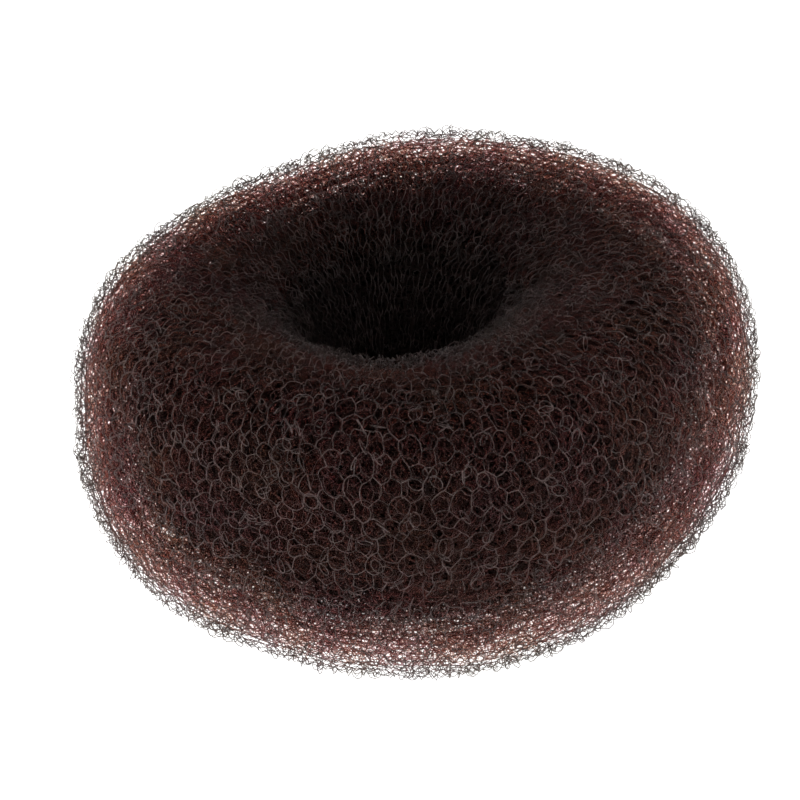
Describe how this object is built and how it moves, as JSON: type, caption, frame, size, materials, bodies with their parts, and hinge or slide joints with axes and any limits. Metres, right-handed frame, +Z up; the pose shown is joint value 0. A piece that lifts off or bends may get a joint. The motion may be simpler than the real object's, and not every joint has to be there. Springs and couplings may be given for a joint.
{
  "type": "hair donut bun maker",
  "caption": "Soft ring of rolled-up brown netting: a ponytail goes through the hole, and hair spread over the ring makes a full round bun.",
  "frame": {"origin": "on the surface that the ring lies on, under the middle of its box", "axes": "+Z up, along the hole for the ponytail; -Y is the side that faces the viewer"},
  "size_m": [0.0908, 0.093, 0.0434],
  "materials": {
    "netting": "sheer dark brown nylon netting in many layers, with a slight sheen on each thread"
  },
  "bodies": {
    "root": {"bun_ring": "netting"}
  },
  "joints": []
}
